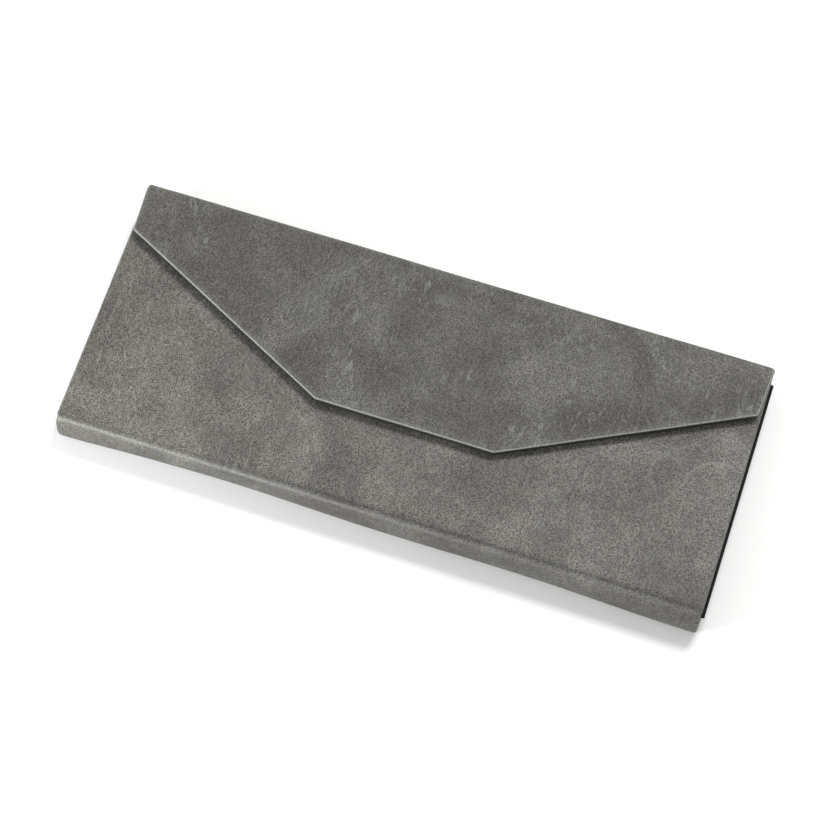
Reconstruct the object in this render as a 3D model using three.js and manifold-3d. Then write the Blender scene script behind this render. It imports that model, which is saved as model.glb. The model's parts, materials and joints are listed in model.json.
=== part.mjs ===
// Fold-flat glasses case with a magnetic flap, shown folded flat and closed.
// X runs along the case, Y from the base edge to the ridge edge, Z up. It lies on its back panel.
import * as THREE from 'three';
import { mergeVertices } from 'three/addons/utils/BufferGeometryUtils.js';
import Module from 'manifold-3d';

const wasm = await Module();
wasm.setup();

// Overall size, mm
const caseLength = 165;
const caseDepth = 68;

// Sheet thicknesses and gaps, mm
const leather = 0.8;
const lining = 0.5;
const panelBoard = 1.2;
const flapBoard = 1.1;
const stripLining = 0.5;
const gussetCloth = 0.35;
const gussetCard = 0.4;
const glueGap = 0.05;
const stripGlueGap = 0.1;
const layerGap = 0.3;
const turnedEdge = 0.9; // thickness of the leather turned up round a board
const cornerRadius = 1.6;
const squareCorner = 0.1; // for cutters whose corners don't show
const past = 1; // cutters run past the faces they open

// Folded stack, heights of each panel above the table, mm
const panelThickness = leather + panelBoard + lining + 2 * glueGap;
const flapThickness = leather + flapBoard + lining + 2 * glueGap;
const gussetThickness = gussetCloth + gussetCard + glueGap;
const frontBottom = panelThickness + layerGap;
const frontTop = frontBottom + panelThickness;
const frontGussetBottom = frontTop + layerGap;
const baseGussetBottom = frontGussetBottom + gussetThickness + layerGap;
const baseBottom = baseGussetBottom + gussetThickness + layerGap;
const baseTop = baseBottom + panelThickness;
const flapBottom = baseTop + layerGap;
const flapTop = flapBottom + flapThickness;

// Crease lines, mm. Each strip bows out a little past its own creases.
const stripBow = 0.7;
const ridgeGap = 0.4; // between the ridge strip and the spine strip inside it
const stripThickness = leather + stripGlueGap + stripLining;
const baseCreaseY = -caseDepth / 2 + stripBow;
const ridgeCreaseY = caseDepth / 2 - stripBow;
const spineCreaseY = ridgeCreaseY - stripThickness - ridgeGap;
const creaseRoom = stripThickness + layerGap; // from a crease to the board behind the strip

// Front wall and flap, mm
const frontReach = 48; // from the spine crease to the wall's free edge
const flapEndReach = 13.4; // depth of the flap at the ends of the case
const flapTipReach = 43; // depth of the flap at its straight lower edge
const flapTipLength = 46;
const endInset = 0.5; // the inner wall is a little shorter than the outer panels

// Magnets, mm
const magnetRadius = 5;
const magnetClearance = 0.2;
const magnetX = 14;
const magnetReach = 33; // from the crease, the same on the flap and on the front wall
const flapMagnetHeight = 0.9;
const frontMagnetHeight = 1;

// End gussets, mm. Each half is a triangle that folds flat against its panel.
const gussetOverhang = 0.8; // how far the folded cloth shows past the panels' ends
const gussetAngle = Math.PI / 6;
const gussetCreaseLength = 52;
const gussetEdge = { base: 60.5, front: 45 };
const gussetHem = 0.9;
const gussetCorner = 2;
const gussetPocketCorner = 0.5;

function material(color, roughness, metalness = 0) {
  return () => new THREE.MeshStandardMaterial({ color, roughness, metalness });
}

const greyLeather = material(0x6b6a66, 0.62);
const blackCloth = material(0x121212, 0.92);
const greyBoard = material(0x8c857a, 0.95);
const nickel = material(0xb9b8b4, 0.3, 1);

// Corners of a convex outline, listed counter-clockwise, moved in by a distance
function insetCorners(corners, distance) {
  const count = corners.length;
  return corners.map((corner, i) => {
    const before = corner.clone().sub(corners[(i + count - 1) % count]).normalize();
    const after = corners[(i + 1) % count].clone().sub(corner).normalize();
    const inward = new THREE.Vector2(-before.y - after.y, before.x + after.x);
    const scale = distance / (1 + before.dot(after));
    return corner.clone().add(inward.multiplyScalar(scale));
  });
}

// A closed outline with its corners rounded off
function roundedShape(corners, radius) {
  const shape = new THREE.Shape();
  const count = corners.length;
  corners.forEach((corner, i) => {
    const toward = (other) => other.clone().sub(corner).setLength(radius).add(corner);
    const start = toward(corners[(i + count - 1) % count]);
    const end = toward(corners[(i + 1) % count]);
    if (i === 0) shape.moveTo(start.x, start.y);
    else shape.lineTo(start.x, start.y);
    shape.quadraticCurveTo(corner.x, corner.y, end.x, end.y);
  });
  shape.closePath();
  return shape;
}

function rectangle(x0, y0, x1, y1) {
  return [[x0, y0], [x1, y0], [x1, y1], [x0, y1]].map(([x, y]) => new THREE.Vector2(x, y));
}

// A flat layer between two heights, with optional round holes
function layer(corners, radius, bottom, top, holes = []) {
  const shape = roundedShape(corners, radius);
  for (const [x, y] of holes) {
    const hole = new THREE.Path();
    hole.absarc(x, y, magnetRadius + magnetClearance, 0, 2 * Math.PI, true);
    shape.holes.push(hole);
  }
  const options = { depth: top - bottom, bevelEnabled: false, curveSegments: 8 };
  return new THREE.ExtrudeGeometry(shape, options).translate(0, 0, bottom);
}

function toSolid(geometry) {
  const bare = geometry.clone();
  bare.deleteAttribute('normal');
  bare.deleteAttribute('uv');
  const merged = mergeVertices(bare, 1e-4);
  return new wasm.Manifold(new wasm.Mesh({
    numProp: 3,
    vertProperties: new Float32Array(merged.attributes.position.array),
    triVerts: new Uint32Array(merged.index.array),
  }));
}

function toGeometry(solid) {
  const mesh = solid.getMesh();
  const geometry = new THREE.BufferGeometry();
  geometry.setAttribute('position', new THREE.BufferAttribute(mesh.vertProperties, 3));
  geometry.setIndex(new THREE.BufferAttribute(mesh.triVerts, 1));
  geometry.computeVertexNormals();
  return geometry;
}

function cut(geometry, ...tools) {
  const start = toSolid(geometry);
  return toGeometry(tools.reduce((solid, tool) => solid.subtract(toSolid(tool)), start));
}

function addMesh(group, name, geometry, makeMaterial) {
  const mesh = new THREE.Mesh(geometry, makeMaterial());
  mesh.name = name;
  group.add(mesh);
  return mesh;
}

// One panel: a leather tray, the board in it and the lining that closes it. Heights count from the
// leather face inwards, and a panel with its leather on top is the same panel with them reversed.
function addPanel(group, name, spec) {
  const { corners, board, leatherUp, creases, magnets = [], boardName = 'board' } = spec;
  const thickness = leather + board + lining + 2 * glueGap;
  const span = (near, far) => (leatherUp ? [thickness - far, thickness - near] : [near, far]);
  const xs = corners.map((corner) => corner.x);
  const rooms = creases.map(({ y, inwards }) => {
    const low = inwards > 0 ? y - past : y - creaseRoom;
    const box = rectangle(Math.min(...xs) - past, low, Math.max(...xs) + past, low + creaseRoom + past);
    return layer(box, squareCorner, ...span(leather, thickness + past));
  });
  // The board stops short of every strip
  const tray = corners.map((corner) => {
    const crease = creases.find(({ y }) => Math.abs(corner.y - y) < 1e-6);
    return crease ? new THREE.Vector2(corner.x, corner.y + crease.inwards * creaseRoom) : corner;
  });
  const pocket = insetCorners(tray, turnedEdge);
  const inside = insetCorners(tray, turnedEdge + glueGap);
  const innerRadius = cornerRadius - turnedEdge;
  const shell = layer(corners, cornerRadius, ...span(0, thickness));
  const hollow = layer(pocket, innerRadius, ...span(leather, thickness + past));
  addMesh(group, `${name}_cover`, cut(shell, hollow, ...rooms), greyLeather);
  const boardNear = leather + glueGap;
  const boardFar = boardNear + board;
  const boardLayer = layer(inside, innerRadius, ...span(boardNear, boardFar), magnets);
  addMesh(group, `${name}_${boardName}`, boardLayer, greyBoard);
  const liningLayer = layer(inside, innerRadius, ...span(boardFar + glueGap, thickness));
  addMesh(group, `${name}_lining`, liningLayer, blackCloth);
}

function addMagnets(group, name, height, middle, y) {
  for (const [side, x] of [['left', -magnetX], ['right', magnetX]]) {
    const disc = new THREE.CylinderGeometry(magnetRadius, magnetRadius, height, 32);
    const magnet = addMesh(group, `${name}_magnet_${side}`, disc, nickel);
    magnet.rotation.x = Math.PI / 2;
    magnet.position.set(x, y, middle);
  }
}

// One strip: a bowed leather band between two creases, with its lining inside
function addStrip(group, name, height, outwards) {
  const end = leather + stripGlueGap; // the panels' leather passes over both ends of the strip
  const band = (near, far) => {
    const middle = height / 2;
    const shape = new THREE.Shape();
    shape.moveTo(-outwards * near, end);
    shape.quadraticCurveTo(outwards * (2 * stripBow - near), middle, -outwards * near, height - end);
    shape.lineTo(-outwards * far, height - end);
    shape.quadraticCurveTo(outwards * (2 * stripBow - far), middle, -outwards * far, end);
    shape.closePath();
    const options = { depth: caseLength, bevelEnabled: false, curveSegments: 12 };
    return new THREE.ExtrudeGeometry(shape, options).translate(0, 0, -caseLength / 2);
  };
  const liningNear = leather + stripGlueGap;
  const parts = [
    [`${name}_cover`, band(0, leather), greyLeather],
    [`${name}_lining`, band(liningNear, liningNear + stripLining), blackCloth],
  ];
  for (const [meshName, geometry, makeMaterial] of parts) {
    const mesh = addMesh(group, meshName, geometry, makeMaterial);
    mesh.rotation.set(Math.PI / 2, 0, Math.PI / 2, 'ZYX'); // section in Y and Z, length along X
  }
}

// One half of an end gusset: a cloth pocket with a thin card in it, folded in under its panel
function addGussetHalf(group, name, side, edge, clothUp) {
  const outer = new THREE.Vector2(0, 0);
  const along = new THREE.Vector2(0, -edge);
  const creaseEnd = new THREE.Vector2(-Math.sin(gussetAngle), -Math.cos(gussetAngle));
  creaseEnd.multiplyScalar(gussetCreaseLength);
  const rightHand = [outer, creaseEnd, along];
  const corners = side > 0
    ? rightHand
    : rightHand.map((corner) => new THREE.Vector2(-corner.x, corner.y)).reverse();
  const span = (near, far) => (clothUp ? [gussetThickness - far, gussetThickness - near] : [near, far]);
  const shell = layer(corners, gussetCorner, ...span(0, gussetThickness));
  const pocketCorners = insetCorners(corners, gussetHem);
  const pocket = layer(pocketCorners, gussetPocketCorner, ...span(gussetCloth, gussetThickness + past));
  addMesh(group, `${name}_cloth`, cut(shell, pocket), blackCloth);
  const cardCorners = insetCorners(corners, gussetHem + glueGap);
  const cardSpan = span(gussetCloth + glueGap, gussetThickness);
  addMesh(group, `${name}_card`, layer(cardCorners, gussetPocketCorner, ...cardSpan), greyBoard);
}

function buildCase() {
  const glassesCase = new THREE.Group();
  const addGroup = (x, y, z) => {
    const group = new THREE.Group();
    group.position.set(x, y, z);
    glassesCase.add(group);
    return group;
  };
  const endX = caseLength / 2;

  const back = addGroup(0, 0, 0);
  addPanel(back, 'back', {
    corners: rectangle(-endX, baseCreaseY, endX, ridgeCreaseY),
    board: panelBoard, leatherUp: false,
    creases: [{ y: baseCreaseY, inwards: 1 }, { y: ridgeCreaseY, inwards: -1 }],
  });

  const baseStrip = addGroup(0, baseCreaseY, 0);
  addStrip(baseStrip, 'base_strip', baseTop, -1);

  const base = addGroup(0, 0, baseBottom);
  addPanel(base, 'base', {
    corners: rectangle(-endX, baseCreaseY, endX, spineCreaseY),
    board: panelBoard, leatherUp: true,
    creases: [{ y: baseCreaseY, inwards: 1 }, { y: spineCreaseY, inwards: -1 }],
  });

  const spineStrip = addGroup(0, spineCreaseY, frontBottom);
  addStrip(spineStrip, 'spine_strip', baseTop - frontBottom, 1);

  const magnetSpots = (y) => [[-magnetX, y], [magnetX, y]];
  const front = addGroup(0, 0, frontBottom);
  addPanel(front, 'front', {
    corners: rectangle(-endX + endInset, spineCreaseY - frontReach, endX - endInset, spineCreaseY),
    board: panelBoard, leatherUp: false,
    creases: [{ y: spineCreaseY, inwards: -1 }],
    magnets: magnetSpots(spineCreaseY - magnetReach),
  });
  const frontBoardMiddle = leather + glueGap + panelBoard / 2;
  addMagnets(front, 'front', frontMagnetHeight, frontBoardMiddle, spineCreaseY - magnetReach);

  const ridgeStrip = addGroup(0, ridgeCreaseY, 0);
  addStrip(ridgeStrip, 'ridge_strip', flapTop, 1);

  const flap = addGroup(0, 0, flapBottom);
  addPanel(flap, 'flap', {
    corners: [
      [endX, ridgeCreaseY],
      [-endX, ridgeCreaseY],
      [-endX, ridgeCreaseY - flapEndReach],
      [-flapTipLength / 2, ridgeCreaseY - flapTipReach],
      [flapTipLength / 2, ridgeCreaseY - flapTipReach],
      [endX, ridgeCreaseY - flapEndReach],
    ].map(([x, y]) => new THREE.Vector2(x, y)),
    board: flapBoard, boardName: 'stiffener', leatherUp: true,
    creases: [{ y: ridgeCreaseY, inwards: -1 }],
    magnets: magnetSpots(ridgeCreaseY - magnetReach),
  });
  const stiffenerMiddle = lining + glueGap + flapBoard / 2;
  addMagnets(flap, 'flap', flapMagnetHeight, stiffenerMiddle, ridgeCreaseY - magnetReach);

  for (const [sideName, side] of [['left', -1], ['right', 1]]) {
    const edgeX = side * (endX + gussetOverhang);
    const edgeY = spineCreaseY - creaseRoom;
    const baseHalf = addGroup(edgeX, edgeY, baseGussetBottom);
    addGussetHalf(baseHalf, `base_gusset_${sideName}`, side, gussetEdge.base, false);
    const frontHalf = addGroup(edgeX, edgeY, frontGussetBottom);
    addGussetHalf(frontHalf, `front_gusset_${sideName}`, side, gussetEdge.front, true);
  }
  return glassesCase;
}

export default buildCase();
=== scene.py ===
import bpy
import bmesh
import json
import math
import numpy as np
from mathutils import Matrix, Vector


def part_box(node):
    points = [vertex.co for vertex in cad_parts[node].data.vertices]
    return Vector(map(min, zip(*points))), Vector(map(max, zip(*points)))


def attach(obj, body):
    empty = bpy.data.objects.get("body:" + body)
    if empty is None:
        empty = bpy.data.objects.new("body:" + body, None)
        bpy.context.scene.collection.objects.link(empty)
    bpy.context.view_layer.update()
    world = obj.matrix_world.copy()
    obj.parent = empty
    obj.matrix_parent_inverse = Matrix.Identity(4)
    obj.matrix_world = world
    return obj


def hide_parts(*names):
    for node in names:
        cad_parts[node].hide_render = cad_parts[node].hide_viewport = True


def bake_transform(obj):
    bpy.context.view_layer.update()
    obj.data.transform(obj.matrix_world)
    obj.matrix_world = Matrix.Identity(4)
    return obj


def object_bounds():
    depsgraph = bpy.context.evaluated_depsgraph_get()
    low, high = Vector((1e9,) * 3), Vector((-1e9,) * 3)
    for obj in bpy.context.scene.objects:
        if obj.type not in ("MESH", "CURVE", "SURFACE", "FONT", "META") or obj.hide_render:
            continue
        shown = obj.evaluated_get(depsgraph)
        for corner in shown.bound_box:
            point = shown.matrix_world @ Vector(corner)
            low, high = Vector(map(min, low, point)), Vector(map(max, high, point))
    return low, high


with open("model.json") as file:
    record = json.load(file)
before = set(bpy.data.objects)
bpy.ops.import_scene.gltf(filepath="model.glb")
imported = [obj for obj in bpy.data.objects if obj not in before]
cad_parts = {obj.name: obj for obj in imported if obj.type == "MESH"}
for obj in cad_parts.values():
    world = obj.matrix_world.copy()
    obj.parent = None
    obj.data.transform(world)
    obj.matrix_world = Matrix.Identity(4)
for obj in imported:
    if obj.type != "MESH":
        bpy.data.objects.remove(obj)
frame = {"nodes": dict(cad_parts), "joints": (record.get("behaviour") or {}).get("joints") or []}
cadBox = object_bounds()
mm = 0.001

# crease lines of the case, taken from the joints: y and z in metres
crease = {joint["name"]: Vector(joint["pos_m"]) for joint in frame["joints"]}
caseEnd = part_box("base_cover")[1].x
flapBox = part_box("flap_cover")
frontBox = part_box("front_cover")
stackTop = crease["base_panel_fold"].z
print("frame loaded")


def linearColour(text):
    def channel(value):
        share = value / 255
        return share / 12.92 if share <= 0.04045 else ((share + 0.055) / 1.055) ** 2.4
    return tuple(channel(int(text[i:i + 2], 16)) for i in (0, 2, 4)) + (1.0,)


def addNode(tree, kind, settings=None, links=None):
    # settings go to the node or to its sockets; a link may name a socket or a node's first output
    node = tree.nodes.new(kind)
    for key, value in (settings or {}).items():
        if isinstance(key, str) and hasattr(node, key):
            setattr(node, key, value)
        else:
            node.inputs[key].default_value = value
    for key, source in (links or {}).items():
        socket = source.outputs[0] if isinstance(source, bpy.types.Node) else source
        tree.links.new(socket, node.inputs[key])
    return node


def newMaterial(name):
    material = bpy.data.materials.new(name)
    material.use_nodes = True
    return material, material.node_tree, material.node_tree.nodes["Principled BSDF"]


def smoothStep(low, high, value):
    share = np.clip((value - low) / (high - low), 0, 1)
    return share * share * (3 - 2 * share)


def newMesh(name, vertices, faces, attributes=None):
    mesh = bpy.data.meshes.new(name)
    mesh.from_pydata([tuple(v) for v in vertices], [], faces)
    for key, values in (attributes or {}).items():
        values = np.array(values, dtype=np.float32)
        kind = "FLOAT_VECTOR" if values.ndim == 2 else "FLOAT"
        layer = mesh.attributes.new(key, kind, "POINT")
        layer.data.foreach_set("vector" if values.ndim == 2 else "value", values.ravel())
    mesh.update()
    piece = bpy.data.objects.new(name, mesh)
    bpy.context.scene.collection.objects.link(piece)
    return piece


def bakeModifiers(piece):
    graph = bpy.context.evaluated_depsgraph_get()
    mesh = bpy.data.meshes.new_from_object(piece.evaluated_get(graph))
    piece.modifiers.clear()
    piece.data = mesh


def smoothBelow(piece, degrees):
    mesh = bmesh.new()
    mesh.from_mesh(piece.data)
    for face in mesh.faces:
        face.smooth = True
    for edge in mesh.edges:
        edge.smooth = len(edge.link_faces) == 2 and edge.calc_face_angle(0) < math.radians(degrees)
    mesh.to_mesh(piece.data)
    mesh.free()


def facesOutward(piece):
    mesh = bmesh.new()
    mesh.from_mesh(piece.data)
    bmesh.ops.recalc_face_normals(mesh, faces=mesh.faces)
    mesh.to_mesh(piece.data)
    mesh.free()


def finishPiece(piece, material):
    piece.data.materials.clear()
    piece.data.materials.append(material)


leatherLook = {
    "dark": "393632",
    "middle": "413f3a",
    "light": "4a4843",
    "vein": "8e8e87",
    # pale edge colour: real wear, and a painted highlight where the turned edges and creases catch the
    # light
    "wornAndLit": "b2b2ab",
    "patchSize": 21.0,  # mm, the cloudy light and dark areas of waxed leather
    "grainSize": 0.5,  # mm, pebble grain, about half as coarse again as the real one so that it shows
    "grainDark": 0.0,  # tone in the middle of a pebble and on its rim, before it is evened out
    "grainLight": 4.0,
    "rimShare": 0.28,  # what rims, curls and speckle each add to the grain
    "curlShare": 0.5,
    "speckleShare": 0.8,
    "flapShade": 0.69,  # painted shade: the flap is darkened, though it is the same leather
    "flapFrom": 30.0,  # mm along the skin, where the flap's painted shade sets in and is complete
    "flapFull": 50.0,
    "roughness": 0.5,
    "rimHeight": 0.045,  # mm of relief
    "markHeight": 0.06,
    "toothHeight": 0.06,
    "wander": 7.0,  # mm between the furthest points that a bent-over mark strays to
    # bent-over marks near the right end: centre on the skin, radius, half width, all in mm
    "bends": [((80.5, -69.2), 14.3, 0.3), ((78.5, -71.5), 18.2, 0.22)],
}


def pullUpLeatherette(look):
    # PU leather with an oiled, rubbed finish: cloudy patches, dark pebbles with pale rims, pale veins where
    # it was bent, dry worn edges with a painted highlight, painted shade under the edges, and a soft broken
    # shine
    material, tree, shader = newMaterial("distressed_grey_leather")
    place = addNode(tree, "ShaderNodeAttribute", {"attribute_name": "hide"})
    mmPlace = addNode(tree, "ShaderNodeVectorMath", {"operation": "SCALE", "Scale": 1000.0},
                      {0: place.outputs["Vector"]})
    parts = addNode(tree, "ShaderNodeSeparateXYZ", {}, {0: mmPlace})

    # cloudy patches
    patch = addNode(tree, "ShaderNodeTexNoise",
                    {"Scale": 1 / look["patchSize"], "Detail": 5.0, "Roughness": 0.58, "Distortion": 0.9},
                    {"Vector": mmPlace})
    patchRamp = addNode(tree, "ShaderNodeValToRGB", {}, {"Fac": patch.outputs["Fac"]})
    ramp = patchRamp.color_ramp
    ramp.elements[0].position, ramp.elements[0].color = 0.34, linearColour(look["dark"])
    ramp.elements[1].position, ramp.elements[1].color = 0.66, linearColour(look["light"])
    ramp.elements.new(0.5).color = linearColour(look["middle"])

    # pebble grain: dark pebbles, pale rims, uneven in strength from place to place
    warpNoise = addNode(tree, "ShaderNodeTexNoise", {"Scale": 1.1, "Detail": 2.0}, {"Vector": mmPlace})
    warped = addNode(tree, "ShaderNodeVectorMath", {"operation": "MULTIPLY_ADD", 1: (0.8, 0.8, 0.8)},
                     {0: warpNoise.outputs["Color"], 2: mmPlace})
    grain = addNode(tree, "ShaderNodeTexVoronoi",
                    {"feature": "DISTANCE_TO_EDGE", "Scale": 1 / look["grainSize"]}, {"Vector": warped})
    rim = addNode(tree, "ShaderNodeMapRange",
                  {"From Min": 0.0, "From Max": 0.34, "To Min": 1.0, "To Max": 0.0},
                  {"Value": grain.outputs["Distance"]})
    speckle = addNode(tree, "ShaderNodeTexNoise", {"Scale": 2.6, "Detail": 3.0, "Roughness": 0.7},
                      {"Vector": mmPlace}).outputs["Fac"]
    # the rims run together into short curls, drawn out towards the ridge
    drawn = addNode(tree, "ShaderNodeMapping", {"Rotation": (0, 0, 0.3), "Scale": (2.0, 1.4, 1.0)},
                    {"Vector": mmPlace})
    curl = addNode(tree, "ShaderNodeTexNoise", {"Scale": 1.0, "Detail": 1.0, "Distortion": 0.3},
                   {"Vector": drawn})
    curlPeak = addNode(tree, "ShaderNodeMath", {"operation": "PINGPONG", 1: 0.5}, {0: curl.outputs["Fac"]})
    curlLine = addNode(tree, "ShaderNodeMapRange", {"From Min": 0.4, "From Max": 0.5}, {"Value": curlPeak})
    rough = addNode(tree, "ShaderNodeMath", {"operation": "MULTIPLY", 1: look["rimShare"]}, {0: rim})
    rough = addNode(tree, "ShaderNodeMath", {"operation": "MULTIPLY_ADD", 1: look["curlShare"]},
                    {0: curlLine, 2: rough})
    rough = addNode(tree, "ShaderNodeMath", {"operation": "MULTIPLY_ADD", 1: look["speckleShare"]},
                    {0: speckle, 2: rough})
    grainTone = addNode(tree, "ShaderNodeMapRange",
                        {"From Min": 0.38, "From Max": 1.15, "To Min": look["grainDark"] - 1.0,
                         "To Max": look["grainLight"] - 1.0}, {"Value": rough})
    strength = addNode(tree, "ShaderNodeTexNoise", {"Scale": 1 / 9, "Detail": 3.0}, {"Vector": mmPlace})
    evened = addNode(tree, "ShaderNodeMapRange",
                     {"From Min": 0.35, "From Max": 0.65, "To Min": 0.7, "To Max": 1.0},
                     {"Value": strength.outputs["Fac"]})
    tone = addNode(tree, "ShaderNodeMath", {"operation": "MULTIPLY_ADD", 2: 1.0}, {0: grainTone, 1: evened})
    tone = addNode(tree, "ShaderNodeMath", {"operation": "MAXIMUM", 1: 0.15}, {0: tone})
    # painted shade: the flap is made darker than the base panel
    shadeOnFlap = addNode(tree, "ShaderNodeMapRange",
                     {"From Min": look["flapFrom"], "From Max": look["flapFull"], "To Min": 1.0,
                      "To Max": look["flapShade"]},
                     {"Value": parts.outputs["Y"]})
    tone = addNode(tree, "ShaderNodeMath", {"operation": "MULTIPLY"}, {0: tone, 1: shadeOnFlap})

    # stretch marks: fine pale lines in bundles, running from the base edge to the ridge
    def lines(turn, scale, width, distortion):
        stretched = addNode(tree, "ShaderNodeMapping", {"Rotation": (0, 0, turn), "Scale": scale},
                            {"Vector": mmPlace})
        noise = addNode(tree, "ShaderNodeTexNoise",
                        {"Scale": 1.0, "Detail": 2.0, "Roughness": 0.5, "Distortion": distortion},
                        {"Vector": stretched})
        peak = addNode(tree, "ShaderNodeMath", {"operation": "PINGPONG", 1: 0.5}, {0: noise.outputs["Fac"]})
        return addNode(tree, "ShaderNodeMapRange",
                       {"interpolation_type": "SMOOTHSTEP", "From Min": 0.5 - width, "From Max": 0.5},
                       {"Value": peak})

    def bundles(size, low, high, most):
        noise = addNode(tree, "ShaderNodeTexNoise", {"Scale": 1 / size, "Detail": 2.0, "Distortion": 0.6},
                        {"Vector": mmPlace})
        return addNode(tree, "ShaderNodeMapRange",
                       {"interpolation_type": "SMOOTHSTEP", "From Min": low, "From Max": high,
                        "To Max": most},
                       {"Value": noise.outputs["Fac"]})

    fine = addNode(tree, "ShaderNodeMath", {"operation": "MULTIPLY"},
                   {0: lines(0.2, (0.75, 0.2, 1.0), 0.07, 1.2), 1: bundles(17, 0.5, 0.62, 0.55)})
    longer = addNode(tree, "ShaderNodeMath", {"operation": "MULTIPLY"},
                     {0: lines(-0.35, (0.3, 0.07, 1.0), 0.03, 1.8), 1: bundles(26, 0.48, 0.6, 1.0)})
    marks = addNode(tree, "ShaderNodeMath", {"operation": "MAXIMUM"}, {0: fine, 1: longer})
    wanderNoise = addNode(tree, "ShaderNodeTexNoise", {"Scale": 1 / 11, "Detail": 1.0}, {"Vector": mmPlace})
    for centre, radius, halfWidth in look["bends"]:
        offset = addNode(tree, "ShaderNodeVectorMath", {"operation": "DISTANCE", 1: (*centre, 0.0)},
                         {0: mmPlace})
        wandered = addNode(tree, "ShaderNodeMath", {"operation": "MULTIPLY_ADD", 1: look["wander"]},
                           {0: wanderNoise.outputs["Fac"], 2: offset.outputs["Value"]})
        middle = radius + look["wander"] / 2
        away = addNode(tree, "ShaderNodeMath", {"operation": "SUBTRACT", 1: middle}, {0: wandered})
        away = addNode(tree, "ShaderNodeMath", {"operation": "ABSOLUTE"}, {0: away})
        bend = addNode(tree, "ShaderNodeMapRange",
                       {"interpolation_type": "SMOOTHSTEP", "From Min": halfWidth * 0.3,
                        "From Max": halfWidth * 2.2, "To Min": 1.0, "To Max": 0.0}, {"Value": away})
        above = addNode(tree, "ShaderNodeMapRange",
                        {"interpolation_type": "SMOOTHSTEP", "From Min": centre[1] + 1.0,
                         "From Max": centre[1] - 6.0, "To Max": 0.7}, {"Value": parts.outputs["Y"]})
        faint = addNode(tree, "ShaderNodeMath", {"operation": "MULTIPLY"}, {0: bend, 1: above})
        marks = addNode(tree, "ShaderNodeMath", {"operation": "MAXIMUM"}, {0: marks, 1: faint})

    # colour: patches and grain, then the marks, the worn edges with their painted highlight, and the
    # painted shade under them
    toned = addNode(tree, "ShaderNodeVectorMath", {"operation": "SCALE"},
                    {0: patchRamp.outputs["Color"], "Scale": tone.outputs[0]})
    broken = addNode(tree, "ShaderNodeMath", {"operation": "MULTIPLY", 1: 0.7}, {0: speckle})
    markShare = addNode(tree, "ShaderNodeMath", {"operation": "MULTIPLY"}, {0: marks, 1: broken})
    withMarks = addNode(tree, "ShaderNodeMix", {"data_type": "RGBA", 7: linearColour(look["vein"])},
                        {0: markShare, 6: toned})
    # lightened edges and creases: partly wear, partly a painted highlight where they catch the light
    wornAndLit = addNode(tree, "ShaderNodeAttribute", {"attribute_name": "wear_and_highlight"})
    wearAndHighlightBreak = addNode(tree, "ShaderNodeMapRange", {"From Min": 0.3, "From Max": 0.62, "To Min": 0.25},
                        {"Value": speckle})
    wearAndHighlightShare = addNode(tree, "ShaderNodeMath", {"operation": "MULTIPLY"},
                        {0: wornAndLit.outputs["Fac"], 1: wearAndHighlightBreak})
    withWearAndHighlight = addNode(tree, "ShaderNodeMix", {"data_type": "RGBA", 7: linearColour(look["wornAndLit"])},
                       {0: wearAndHighlightShare, 6: withMarks.outputs[2]})
    # painted shade: darkens the lower walls of turned edges, their undersides, the hems and the crease
    # grooves
    painted_shade = addNode(tree, "ShaderNodeAttribute", {"attribute_name": "painted_shade"})
    unshaded = addNode(tree, "ShaderNodeMath", {"operation": "MULTIPLY_ADD", 1: -0.85, 2: 1.0},
                    {0: painted_shade.outputs["Fac"]})
    coloured = addNode(tree, "ShaderNodeVectorMath", {"operation": "SCALE"},
                       {0: withWearAndHighlight.outputs[2], "Scale": unshaded})
    tree.links.new(coloured.outputs[0], shader.inputs["Base Color"])

    # the rubbed patches shine a little more than the dry ones
    shine = addNode(tree, "ShaderNodeMapRange",
                    {"From Min": 0.35, "From Max": 0.68, "To Min": look["roughness"] + 0.08,
                     "To Max": look["roughness"] - 0.06}, {"Value": patch.outputs["Fac"]})
    tree.links.new(shine.outputs[0], shader.inputs["Roughness"])
    shader.inputs["IOR"].default_value = 1.48

    # relief: raised rims and marks, fine tooth
    height = addNode(tree, "ShaderNodeMath", {"operation": "MULTIPLY", 1: look["rimHeight"]}, {0: rim})
    height = addNode(tree, "ShaderNodeMath", {"operation": "MULTIPLY_ADD", 1: look["markHeight"]},
                     {0: marks, 2: height})
    height = addNode(tree, "ShaderNodeMath", {"operation": "MULTIPLY_ADD", 1: look["toothHeight"]},
                     {0: speckle, 2: height})
    bump = addNode(tree, "ShaderNodeBump", {"Strength": 0.9, "Distance": mm}, {"Height": height})
    tree.links.new(bump.outputs[0], shader.inputs["Normal"])
    return material


suedeLook = {
    "dark": "0d0d0d",
    "light": "2e2e2d",
    "napSize": 14.0,  # mm, cloudy areas where the nap lies one way
    "fibresPerMm": 1.5,  # coarser than real ones, so that they show
    "roughness": (0.86, 0.98),
    "sheen": 0.25,
}


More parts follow.
